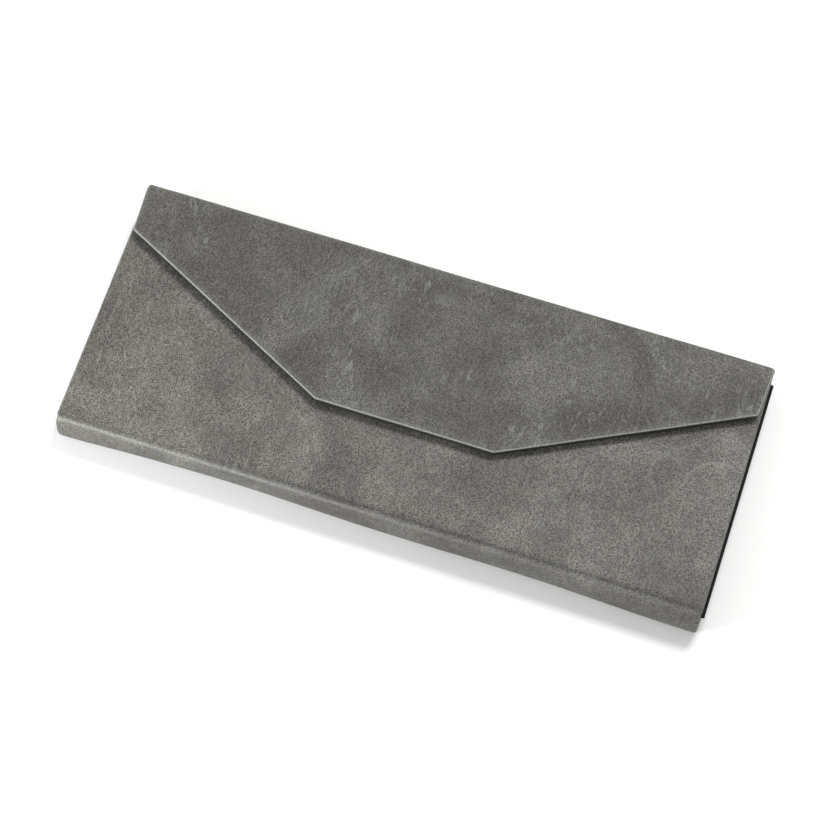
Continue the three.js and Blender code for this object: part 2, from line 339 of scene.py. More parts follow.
def blackMicrosuede(look):
    # brushed synthetic suede: no shine, a soft pale bloom at grazing angles, and cloudy nap
    material, tree, shader = newMaterial("black_microsuede")
    place = addNode(tree, "ShaderNodeAttribute", {"attribute_name": "hide"})
    mmPlace = addNode(tree, "ShaderNodeVectorMath", {"operation": "SCALE", "Scale": 1000.0},
                      {0: place.outputs["Vector"]}).outputs[0]
    nap = addNode(tree, "ShaderNodeTexNoise",
                  {"Scale": 1 / look["napSize"], "Detail": 3.0, "Distortion": 0.4},
                  {"Vector": mmPlace})
    fibre = addNode(tree, "ShaderNodeTexNoise",
                    {"Scale": look["fibresPerMm"], "Detail": 4.0, "Roughness": 0.75},
                    {"Vector": mmPlace})
    both = addNode(tree, "ShaderNodeMath", {"operation": "MULTIPLY_ADD", 1: 0.6},
                   {0: fibre.outputs["Fac"], 2: nap.outputs["Fac"]})
    ramp = addNode(tree, "ShaderNodeValToRGB", {}, {"Fac": both.outputs[0]})
    ramp.color_ramp.elements[0].position = 0.6
    ramp.color_ramp.elements[0].color = linearColour(look["dark"])
    ramp.color_ramp.elements[1].position = 1.0
    ramp.color_ramp.elements[1].color = linearColour(look["light"])
    tree.links.new(ramp.outputs["Color"], shader.inputs["Base Color"])
    smooth, dry = look["roughness"]
    rough = addNode(tree, "ShaderNodeMapRange", {"To Min": smooth, "To Max": dry},
                    {"Value": nap.outputs["Fac"]})
    tree.links.new(rough.outputs[0], shader.inputs["Roughness"])
    shader.inputs["Sheen Weight"].default_value = look["sheen"]
    shader.inputs["Sheen Roughness"].default_value = 0.5
    shader.inputs["Specular IOR Level"].default_value = 0.2
    bump = addNode(tree, "ShaderNodeBump", {"Strength": 0.9, "Distance": 0.35 * mm},
                   {"Height": fibre.outputs["Fac"]})
    tree.links.new(bump.outputs[0], shader.inputs["Normal"])
    return material


bookClothLook = {
    "thread": "171716",
    "gap": "090909",
    "threadStep": 0.6 * mm,  # about twice the real spacing, so that it shows
    "roughness": (0.72, 0.9),
}


def blackBookCloth(look):
    # tight plain-weave cloth with a thin black coat: a faint regular tooth and a low shine
    material, tree, shader = newMaterial("black_book_cloth")
    place = addNode(tree, "ShaderNodeAttribute", {"attribute_name": "hide"}).outputs["Vector"]
    threads = []
    for turn in (0.0, math.pi / 2):
        turned = addNode(tree, "ShaderNodeMapping", {"Rotation": (0, 0, turn)}, {"Vector": place})
        # a wave texture repeats every pi / 10 at scale 1
        threads.append(addNode(tree, "ShaderNodeTexWave",
                               {"wave_profile": "SIN", "Scale": math.pi / (10 * look["threadStep"]),
                                "Distortion": 0.6, "Detail": 1.0}, {"Vector": turned}))
    weave = addNode(tree, "ShaderNodeMath", {"operation": "MAXIMUM"},
                    {0: threads[0].outputs["Fac"], 1: threads[1].outputs["Fac"]})
    ramp = addNode(tree, "ShaderNodeValToRGB", {}, {"Fac": weave.outputs[0]})
    ramp.color_ramp.elements[0].color = linearColour(look["gap"])
    ramp.color_ramp.elements[1].color = linearColour(look["thread"])
    tree.links.new(ramp.outputs["Color"], shader.inputs["Base Color"])
    shader.inputs["Specular IOR Level"].default_value = 0.25
    cloudy = addNode(tree, "ShaderNodeTexNoise", {"Scale": 160.0, "Detail": 3.0}, {"Vector": place})
    smooth, dry = look["roughness"]
    rough = addNode(tree, "ShaderNodeMapRange", {"To Min": smooth, "To Max": dry},
                    {"Value": cloudy.outputs["Fac"]})
    tree.links.new(rough.outputs[0], shader.inputs["Roughness"])
    bump = addNode(tree, "ShaderNodeBump", {"Strength": 0.6, "Distance": 0.05 * mm},
                   {"Height": weave.outputs[0]})
    tree.links.new(bump.outputs[0], shader.inputs["Normal"])
    return material


boardLook = {"dark": "6f695f", "light": "9a9387", "roughness": 0.92}


def greyBoard(look):
    # pressed recycled paper: flecked grey-brown, dry and dull
    material, tree, shader = newMaterial("grey_board")
    place = addNode(tree, "ShaderNodeTexCoord")
    fibre = addNode(tree, "ShaderNodeTexNoise", {"Scale": 900.0, "Detail": 5.0, "Roughness": 0.7},
                    {"Vector": place.outputs["Object"]})
    fleck = addNode(tree, "ShaderNodeTexVoronoi", {"Scale": 420.0},
                    {"Vector": place.outputs["Object"]})
    mixed = addNode(tree, "ShaderNodeMath", {"operation": "MULTIPLY_ADD", 1: 0.5},
                    {0: fleck.outputs["Distance"], 2: fibre.outputs["Fac"]})
    ramp = addNode(tree, "ShaderNodeValToRGB", {}, {"Fac": mixed.outputs[0]})
    ramp.color_ramp.elements[0].position = 0.4
    ramp.color_ramp.elements[0].color = linearColour(look["dark"])
    ramp.color_ramp.elements[1].position = 0.9
    ramp.color_ramp.elements[1].color = linearColour(look["light"])
    tree.links.new(ramp.outputs["Color"], shader.inputs["Base Color"])
    shader.inputs["Roughness"].default_value = look["roughness"]
    bump = addNode(tree, "ShaderNodeBump", {"Strength": 0.5, "Distance": 0.05 * mm},
                   {"Height": fibre.outputs["Fac"]})
    tree.links.new(bump.outputs[0], shader.inputs["Normal"])
    return material


nickelLook = {"colour": "c9c6be", "roughness": (0.18, 0.34)}


def nickelPlate(look):
    # bright nickel on a pressed magnet: clean metal with fine handling scratches
    material, tree, shader = newMaterial("nickel_plate")
    shader.inputs["Base Color"].default_value = linearColour(look["colour"])
    shader.inputs["Metallic"].default_value = 1.0
    place = addNode(tree, "ShaderNodeTexCoord")
    stretched = addNode(tree, "ShaderNodeMapping", {"Scale": (300.0, 4000.0, 300.0)},
                        {"Vector": place.outputs["Object"]})
    scratch = addNode(tree, "ShaderNodeTexNoise", {"Scale": 1.0, "Detail": 4.0},
                      {"Vector": stretched.outputs[0]})
    polished, scratched = look["roughness"]
    rough = addNode(tree, "ShaderNodeMapRange", {"To Min": polished, "To Max": scratched},
                    {"Value": scratch.outputs["Fac"]})
    tree.links.new(rough.outputs[0], shader.inputs["Roughness"])
    return material


leather = pullUpLeatherette(leatherLook)
suede = blackMicrosuede(suedeLook)
bookCloth = blackBookCloth(bookClothLook)
board = greyBoard(boardLook)
nickel = nickelPlate(nickelLook)
print("materials made")


# the laminate: one long skin of leather with its lining, folded at six creases
laminate = {
    "leather": 0.65 * mm,
    "lining": 0.45 * mm,
    "stripDepth": 1.4 * mm,  # leather and lining together where there is no board
    "foldRadius": 0.75 * mm,
    "edgeRadius": 0.45 * mm,
    "underRadius": 1.0 * mm,  # the wrapped edge tucks under more softly than it turns over
    "turnedWidth": 2.0 * mm,  # flat grid stops this far inside a turned edge
    "hem": 2.9 * mm,
    "liningProud": 0.08 * mm,  # the lining lies over the cut edge of the hem
    "grooveFrom": 1.5 * mm,  # crease groove beside a board, from the crease line
    "grooveWidth": 0.5 * mm,
    "bow": 0.7 * mm,  # the middle of a strip stands out by this
    "boardStart": 1.7 * mm,  # from a crease to the board beside it
    "boardSlope": 1.0 * mm,  # over which the lining rises onto the board
    "bunchReach": 3.0 * mm,  # inside a fold the lining is bunched up into the corner from here
    "liningTuck": 0.2 * mm,  # of the hem that the lining covers
    "gridStep": 1.6 * mm,
}


# small unevenness of a hand-made case, in mm
unevenness = {
    "squeeze": 0.55,  # the ends of a crease are pulled in
    "squeezeLength": 3,
    "squeezeWidth": 0.9,
    "ripple": 0.07,
    "fineRipple": 0.05,
    "stripReach": 2.2,  # the base strip's own shape fades out this far from its crease
    "pinches": ((0.9, -38, 26), (0.25, 30, 20)),  # depth, middle and half width under the strip
    "fullEnds": 0.3,
    "kickRight": 0.9,  # the foot of the strip stands out at the ends
    "kickLeft": 0.4,
}


def warp(points):
    # the same for every piece, so that neighbours still meet
    uneven = unevenness
    x, y, z = points[:, 0] / mm, points[:, 1] / mm, points[:, 2] / mm
    height = z / (stackTop / mm)
    up = np.clip(height, 0, 1.3)
    moved = points.copy()
    nearEnd = smoothStep(caseEnd / mm - uneven["squeezeLength"], caseEnd / mm, np.abs(x))
    for line in crease.values():
        if line.x:  # a gusset's hinge, not a crease across the case
            continue
        away = np.hypot(y - line.y / mm, z - line.z / mm)
        squeezed = uneven["squeeze"] * nearEnd * np.exp(-((away / uneven["squeezeWidth"]) ** 2))
        moved[:, 0] -= np.sign(x) * squeezed * mm
    ripple = uneven["ripple"] * np.sin(x / 17 + 0.6) * np.cos(y / 13)
    ripple += uneven["fineRipple"] * np.sin(x / 7.3 + y / 9 + 1.1)
    moved[:, 2] += ripple * up * mm
    strip = 1 - smoothStep(0, uneven["stripReach"], y - crease["base_fold"].y / mm)
    pinch = sum(deep * np.exp(-((x - middle) / width) ** 2) for deep, middle, width in uneven["pinches"])
    full = uneven["fullEnds"] * smoothStep(60, 82, np.abs(x))
    kick = uneven["kickRight"] * smoothStep(40, 80, x) + uneven["kickLeft"] * smoothStep(60, 82, -x)
    moved[:, 1] -= strip * kick * np.clip(1 - height, 0, 1) * mm
    moved[:, 1] += strip * (pinch * (1 - height) - full * np.sin(np.clip(up, 0, 1) * math.pi)) * mm
    return moved


def stations(limits):
    # places along the section: close together in the fold, further apart on the flat
    low, high = limits
    fold = laminate["foldRadius"]
    near = [-4 * mm, -3 * mm, -2.2 * mm, -1.5 * mm]
    bend = list(np.linspace(-fold, fold, 9))
    places = [p for p in near + bend + [-p for p in near] if low < p < high]
    for start, stop in ((low, min(places)), (max(places), high)):
        count = max(2, int(round((stop - start) / laminate["gridStep"])))
        places += list(np.linspace(start, stop, count + 1))
    places = sorted(places)
    kept = [places[0]]
    for place in places[1:]:
        if place - kept[-1] > 0.12 * mm:
            kept.append(place)
    kept[-1] = high
    return np.array(kept)


def section(s, spec):
    # outer and inner points of the laminate at a distance s from a crease: minus on the strip
    corner, strip, panel = spec["corner"], spec["strip"], spec["panel"]
    fold, depth = laminate["foldRadius"], laminate["stripDepth"]
    share = -s / spec["stripLength"]
    bowed = laminate["bow"] * 4 * share * (1 - share) if s < 0 else 0.0
    if s <= -fold:
        outer = corner + strip * -s
    elif s >= fold:
        outer = corner + panel * s
    else:
        angle = (s / fold + 1) * math.pi / 4
        outer = corner + (strip + panel) * fold - (panel * math.cos(angle) + strip * math.sin(angle)) * fold
    reach = laminate["bunchReach"]
    along = abs(s) if abs(s) >= reach else depth + abs(s) * (reach - depth) / reach
    if s < 0:
        inner = corner + strip * along + panel * depth
    else:
        start, slope = laminate["boardStart"], laminate["boardSlope"]
        deep = depth + (spec["depth"] - depth) * float(smoothStep(start, start + slope, along))
        inner = corner + panel * along + strip * deep
    outer = outer - panel * bowed
    inner = inner - panel * bowed * 0.9
    return outer, inner


def outline(spec, inset):
    # half width of the flat grid at each s, and the s at which a tapered panel starts to narrow
    if not spec.get("taper"):
        return (lambda s: spec["ends"] - inset), None, None
    taper = spec["taper"]
    slope = (taper["tip"] - spec["ends"]) / (spec["high"] - taper["from"])
    tilt = math.sqrt(1 + slope * slope)
    start = taper["from"] + inset * (tilt - 1) / slope
    slant = Vector((1.0, -slope)).normalized()

    def halfWidth(s):
        slanted = spec["ends"] + slope * (s - taper["from"]) - inset * tilt
        narrowed = taper["lean"] * min(max(s, 0.0), taper["from"]) / taper["from"]
        return min(spec["ends"] - inset, slanted) - narrowed
    return halfWidth, start, slant


def edgeRun(sign, rows, width, spec, start, slant):
    # points along one side: grid index, the way out, and for corners the mitre and its radius
    straight, endwards = Vector((sign, 0.0)), Vector((0.0, 1.0))
    slanted = Vector((sign * slant.x, slant.y)) if slant else straight
    column = 0 if sign < 0 else width - 1
    run = []

    def corner(index, first, last, radius):
        mitre = (first + last) / (1 + first.dot(last))
        for k in range(7):
            turn = first.lerp(last, k / 6).normalized()
            run.append((index, turn, mitre, radius))

    for j, s in enumerate(rows):
        index = j * width + column
        narrow = start is not None and s > start + 1e-7
        if start is not None and abs(s - start) < 1e-7:
            corner(index, straight, slanted, spec["endRadius"])
        elif j == len(rows) - 1 and spec["turnedEnd"]:
            radius = spec["tipRadius"][0 if sign < 0 else 1]
            corner(index, slanted if narrow else straight, endwards, radius)
        else:
            run.append((index, slanted if narrow else straight, None, 0.0))
    return run


def groove(x, s, spec):
    # the leather is pressed in beside the crease, less towards the left end
    along = 0.3 + 0.7 * float(smoothStep(-60 * mm, 5 * mm, x))
    across = math.exp(-(((s - laminate["grooveFrom"]) / laminate["grooveWidth"]) ** 2))
    return spec["groove"] * along * across


def foldedSheet(name, spec, side, profile, inset, thickness):
    # A sheet on one face of the laminate, rolled over at its free edges as the profile says.
    # side is "outer" for leather and "inner" for lining. A profile row is (distance in from the
    # edge, depth below the face, length round the edge, wear with painted highlight, painted shade).
    gridInset = inset + profile[0][0]
    turned = spec["turnedEnd"]
    high = spec["high"] - (gridInset if turned else 0)
    halfWidth, start, slant = outline(spec, gridInset)
    rows = stations((spec["low"], high))
    if start is not None:
        rows[int(np.argmin(np.abs(rows - start)))] = start
    columns = 2 * int(spec["ends"] / laminate["gridStep"])
    cross = np.linspace(-1, 1, columns + 1)
    width = len(cross)

    def point(x, s, depth):
        outer, inner = section(s, spec)
        face, back = (outer, inner) if side == "outer" else (inner, outer)
        length = (back - face).length
        if isinstance(depth, tuple):  # a share of the whole depth, and metres from it
            distance = depth[0] * length + depth[1]
        else:
            distance = depth + (groove(x, s, spec) if side == "outer" else 0.0)
        place = face + (back - face) * (distance / length)
        return (x, place.y, place.z)

    vertices, hide, wear_and_highlight, painted_shade, places = [], [], [], [], []

    def add(x, s, depth, hideX, hideS, wornAndLit, shaded):
        vertices.append(point(x, s, depth))
        hide.append((hideX, spec["hideCrease"] + spec["hideSign"] * hideS, 0.0))
        # crease wear and painted highlight, made stronger towards the left end where the light falls
        litFromLeft = 1.5 - float(smoothStep(-50 * mm, 40 * mm, x))
        creaseWearAndHighlight = spec["foldWearAndHighlight"] * litFromLeft * math.exp(-((s / (0.6 * mm)) ** 2))
        # painted shade in the crease groove, following the groove's depth
        pressed = 0.5 * groove(x, s, spec) / spec["groove"] * spec["grooveShade"]
        wear_and_highlight.append(max(creaseWearAndHighlight, wornAndLit))
        painted_shade.append(max(shaded, pressed))

    for s in rows:
        for share in cross:
            x = share * halfWidth(s)
            places.append((x, s))
            add(x, s, profile[0][1], x, s, 0.0, 0.0)
    faces = []
    for j in range(len(rows) - 1):
        for i in range(width - 1):
            a = j * width + i
            faces.append((a, a + 1, a + width + 1, a + width))

    edge = edgeRun(-1, rows, width, spec, start, slant)
    if turned:
        last = (len(rows) - 1) * width
        edge += [(last + i, Vector((0.0, 1.0)), None, 0.0) for i in range(1, width - 1)]
    else:
        edge.append(None)  # the sheet is cut here, so the edge is two runs
    edge += reversed(edgeRun(1, rows, width, spec, start, slant))

    previous = [item[0] if item else None for item in edge]
    for inward, depth, length, wornAndLit, shaded in profile[1:]:
        current = []
        for item in edge:
            if item is None:
                current.append(None)
                continue
            index, out, mitre, radius = item
            x0, s0 = places[index]
            move = profile[0][0] - inward
            shift = mitre * (move - radius) + out * radius if mitre and move > radius else out * move
            reach = profile[0][0] + length
            current.append(len(vertices))
            add(x0 + shift.x, min(s0 + shift.y, spec["high"]), depth,
                x0 + out.x * reach, s0 + out.y * reach, wornAndLit * spec["edgeWearAndHighlight"], shaded)
        for n in range(len(edge) - 1):
            quad = (previous[n], previous[n + 1], current[n + 1], current[n])
            if None not in quad:
                faces.append(tuple(dict.fromkeys(quad)))
        previous = current
    faces = [face for face in faces if len(face) > 2]
    moved = warp(np.array(vertices))
    piece = newMesh(name, moved, faces, {"hide": hide, "wear_and_highlight": wear_and_highlight, "painted_shade": painted_shade})

    mesh = bmesh.new()
    mesh.from_mesh(piece.data)
    bmesh.ops.remove_doubles(mesh, verts=mesh.verts, dist=0.002 * mm)
    bmesh.ops.recalc_face_normals(mesh, faces=mesh.faces)
    flat = Vector(moved[width * (len(rows) - 2) + width // 2])
    face = min(mesh.faces, key=lambda f: (f.calc_center_median() - flat).length)
    outwards = spec["strip"] * (-1 if side == "outer" else 1)
    if face.normal.dot(outwards) < 0:
        bmesh.ops.reverse_faces(mesh, faces=mesh.faces)
    mesh.to_mesh(piece.data)
    mesh.free()
    solid = piece.modifiers.new("thickness", "SOLIDIFY")
    solid.thickness = thickness
    solid.offset = -1.0
    solid.use_quality_normals = True
    bakeModifiers(piece)
    smoothBelow(piece, 50)
    return piece


def leatherProfile():
    # over the edge, down the wall and under as a hem
    over, under, hem = laminate["edgeRadius"], laminate["underRadius"], laminate["hem"]
    # fourth value: wear with a painted highlight on the top arc; fifth value: painted shade down the wall,
    # under it and along the hem
    rows = [(laminate["turnedWidth"], 0.0, 0.0, 0.0), (1.2 * mm, 0.0, 0.05, 0.0)]
    steps = 5
    for k in range(steps + 1):
        angle = math.pi / 2 * k / steps
        rows.append((over * (1 - math.sin(angle)), over * (1 - math.cos(angle)),
                     0.1 + 0.9 * math.sin(2 * angle), 0.8 * (k / steps) ** 3))
    for k in range(steps + 1):
        angle = math.pi / 2 * k / steps
        rows.append((under * (1 - math.cos(angle)), (1.0, -under * (1 - math.sin(angle))),
                     0.0, 0.85 + 0.15 * math.sin(angle)))
    rows += [(1.7 * mm, (1.0, 0.0), 0.0, 0.6), (hem, (1.0, 0.0), 0.0, 0.2)]
    # measure round the profile with a nominal depth of one panel
    measured, length, before = [], -laminate["turnedWidth"], None
    for inward, depth, wornAndLit, shaded in rows:
        flat = depth if not isinstance(depth, tuple) else depth[0] * panelDepth + depth[1]
        if before is not None:
            length += math.hypot(inward - before[0], flat - before[1])
        before = (inward, flat)
        measured.append((inward, depth, length, wornAndLit, shaded))
    return measured


def liningProfile():
    proud = laminate["liningProud"]
    rows = [(1.2 * mm, -proud), (0.5 * mm, -proud), (0.18 * mm, -0.6 * proud), (0.04 * mm, 0.1 * mm),
            (0.0, 0.3 * mm)]
    return [(inward, depth, depth - inward, 0.0, 0.0) for inward, depth in rows]


up, down = Vector((0, 0, 1)), Vector((0, 0, -1))
toRidge, toBase = Vector((0, 1, 0)), Vector((0, -1, 0))
stripHeight = {
    "base": crease["base_panel_fold"].z - crease["base_fold"].z,
    "ridge": crease["flap_fold"].z - crease["ridge_fold"].z,
    "spine": crease["spine_fold"].z - crease["front_fold"].z,
}
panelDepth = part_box("base_cover")[1].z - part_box("base_cover")[0].z
flapDepth = flapBox[1].z - flapBox[0].z
backMiddle = 0.0  # where two lengths of skin meet under the case
baseCut = crease["spine_fold"].y - 7.5 * mm  # and where two meet on the base panel, under the flap
baseReach = crease["spine_fold"].y - crease["base_fold"].y
hideTop = crease["base_fold"].y - stripHeight["base"]  # the base panel's crease on the flat hide

# (share of the strip's distance, low, high) for a bend across each crease; no bend is applied with them
tightBend = (0.5, -1.2 * mm, 0.8 * mm)
wideBend = (1.0, -1.8 * mm, 1.8 * mm)

# each length of skin crosses one crease: half a strip on one side and a panel on the other
skins = {
    # the fold and edge wear values also paint a highlight on creases and edges; the groove value paints
    # shade in the crease groove
    "back": {
        "corner": crease["base_fold"], "strip": up, "panel": toRidge,
        "stripLength": stripHeight["base"], "high": backMiddle - crease["base_fold"].y,
        "depth": panelDepth, "turnedEnd": False, "bend": tightBend,
        "bodies": ("base_strip", "back"), "nodes": ("base_strip", "back"),
        "foldWearAndHighlight": 0.12, "edgeWearAndHighlight": 0.2, "groove": 0.12 * mm, "grooveShade": 0.4,
        "hideCrease": crease["base_fold"].y, "hideSign": 1,
    },
    "ridge": {
        "corner": crease["ridge_fold"], "strip": up, "panel": toBase,
        "stripLength": stripHeight["ridge"], "high": crease["ridge_fold"].y - backMiddle,
        "depth": panelDepth, "turnedEnd": False, "bend": tightBend,
        "bodies": ("ridge_strip", "back"), "nodes": ("ridge_strip",),
        "foldWearAndHighlight": 0.12, "edgeWearAndHighlight": 0.2, "groove": 0.12 * mm, "grooveShade": 0.4,
        "hideCrease": crease["ridge_fold"].y, "hideSign": -1,
    },
    "base": {
        "corner": crease["base_panel_fold"], "strip": down, "panel": toRidge,
        "stripLength": stripHeight["base"], "high": baseCut - crease["base_panel_fold"].y,
        "depth": panelDepth, "turnedEnd": False, "bend": tightBend,
        "bodies": ("base_strip", "base"), "nodes": ("base",),
        "foldWearAndHighlight": 0.34, "edgeWearAndHighlight": 0.25, "groove": 0.36 * mm, "grooveShade": 1.2,
        "hideCrease": hideTop, "hideSign": -1,
    },
    "spine": {
        "corner": crease["spine_fold"], "strip": down, "panel": toBase,
        "stripLength": stripHeight["spine"], "high": crease["spine_fold"].y - baseCut,
        "depth": panelDepth, "turnedEnd": False, "bend": wideBend,
        "bodies": ("spine_strip", "base"), "nodes": ("spine_strip",),
        "foldWearAndHighlight": 0.12, "edgeWearAndHighlight": 0.25, "groove": 0.12 * mm, "grooveShade": 0.4,
        "hideCrease": hideTop - baseReach, "hideSign": 1,
    },
    "front": {
        "corner": crease["front_fold"], "strip": up, "panel": toBase,
        "stripLength": stripHeight["spine"], "high": crease["front_fold"].y - frontBox[0].y,
        "depth": panelDepth, "turnedEnd": True, "bend": wideBend, "tipRadius": (1.0 * mm, 1.0 * mm),
        "bodies": ("spine_strip", "front"), "nodes": ("front",),
        "foldWearAndHighlight": 0.12, "edgeWearAndHighlight": 0.4, "groove": 0.12 * mm, "grooveShade": 0.4,
        "hideCrease": hideTop - stripHeight["spine"] - baseReach, "hideSign": -1,
    },
    "flap": {
        "corner": crease["flap_fold"], "strip": down, "panel": toBase,
        "stripLength": stripHeight["ridge"], "high": crease["flap_fold"].y - flapBox[0].y,
        "depth": flapDepth, "turnedEnd": True, "bend": tightBend,
        "endRadius": 1.0 * mm, "tipRadius": (0.5 * mm, 1.3 * mm),
        "taper": {"from": 13.4 * mm, "tip": 23.8 * mm, "lean": 0.8 * mm},
        "bodies": ("ridge_strip", "flap"), "nodes": ("flap",),
        "foldWearAndHighlight": 0.15, "edgeWearAndHighlight": 0.95, "groove": 0.1 * mm, "grooveShade": 0.3,
        "hideCrease": crease["ridge_fold"].y + stripHeight["ridge"], "hideSign": 1,
    },
}


def bendAcross(piece, spec):
    # a bend direction is worked out as distance along the panel less a share of the distance along the
    # strip, but not used: only the transform is baked in
    share, low, high = spec["bend"]
    direction = spec["panel"] - spec["strip"] * share
    direction = direction / direction.length_squared
    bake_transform(piece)


leatherRows, liningRows = leatherProfile(), liningProfile()
for name, spec in skins.items():
    spec["low"] = -spec["stripLength"] / 2
    spec["ends"] = caseEnd if name != "front" else frontBox[1].x
    skin = foldedSheet(name + "_leather_skin", spec, "outer", leatherRows, 0.0, laminate["leather"])
    finishPiece(skin, leather)
    bendAcross(skin, spec)
    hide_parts(*[node + "_cover" for node in spec["nodes"]])
    liningInset = laminate["hem"] - laminate["liningTuck"]
    inner = foldedSheet(name + "_lining_skin", spec, "inner", liningRows, liningInset,
                        laminate["lining"] / 2)
    finishPiece(inner, suede)
    bendAcross(inner, spec)
    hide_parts(*[node + "_lining" for node in spec["nodes"]])
    print("skin and lining:", name)


# end gussets: a black cloth pouch round each card, hung on a cloth tape hinge
gussetCloth = {
    "angle": math.radians(30),  # between the hinge edge and the middle crease
    "wall": 0.1 * mm,
    "pouchRoom": 0.15 * mm,  # from the panel's face to the pouch
    "pouchEdge": 0.3 * mm,  # how far its edge is softened
    "setBack": 0.3 * mm,  # from the outer end of the CAD cloth
    "pouchShort": 0.05 * mm,  # it stops this far short of the CAD cloth's far face
    "bendStart": 0.15 * mm,  # the tape bends between its two flat parts, this far from each
    "tapeThickness": 0.13 * mm,
    "flange": 3.0 * mm,  # glued to the panel's hem
    "tab": 3.2 * mm,  # glued under the pouch
    "pastCorner": {"left": 1.0 * mm, "right": 2.3 * mm},  # the tape runs on past the pouch
    "cornerRadius": 0.8 * mm,
    "across": 25,  # points of the tape's grid
    "along": 60,
}


def ring(corners, inset, radius, steps=5):
    # a convex outline moved in and rounded, always with the same number of points
    spots = []
    count = len(corners)
    for k in range(count):
        before, here, after = corners[k - 1], corners[k], corners[(k + 1) % count]
        first = (here - before).normalized()
        second = (after - here).normalized()
        firstOut, secondOut = Vector((first.y, -first.x)), Vector((second.y, -second.x))
        mitre = (firstOut + secondOut) / (1 + firstOut.dot(secondOut))
        centre = here - mitre * (inset + radius)
        for step in range(steps + 1):
            spots.append(centre + firstOut.slerp(secondOut, step / steps) * radius)
    return spots


def pouch(name, corners, low, high):
    # a flat cloth pouch with soft edges, hollow round its card
    edge = gussetCloth["pouchEdge"]
    rings = [(edge, low), (0.3 * edge, low + 0.1 * edge), (0.0, low + 0.7 * edge), (0.0, high - 0.7 * edge),
             (0.3 * edge, high - 0.1 * edge), (edge, high)]
    vertices = []
    for inset, z in rings:
        vertices += [(p.x, p.y, z) for p in ring(corners, inset, gussetCloth["cornerRadius"])]
    count = len(vertices) // len(rings)
    faces = [tuple(range(count)), tuple(range(count * (len(rings) - 1), count * len(rings)))]
    for j in range(len(rings) - 1):
        for k in range(count):
            n = (k + 1) % count
            faces.append((j * count + k, j * count + n, (j + 1) * count + n, (j + 1) * count + k))
    piece = newMesh(name, vertices, faces, {"hide": vertices})
    facesOutward(piece)
    wall = piece.modifiers.new("wall", "SOLIDIFY")
    wall.thickness = gussetCloth["wall"]
    wall.offset = -1.0
    bakeModifiers(piece)
    smoothBelow(piece, 40)
    return piece


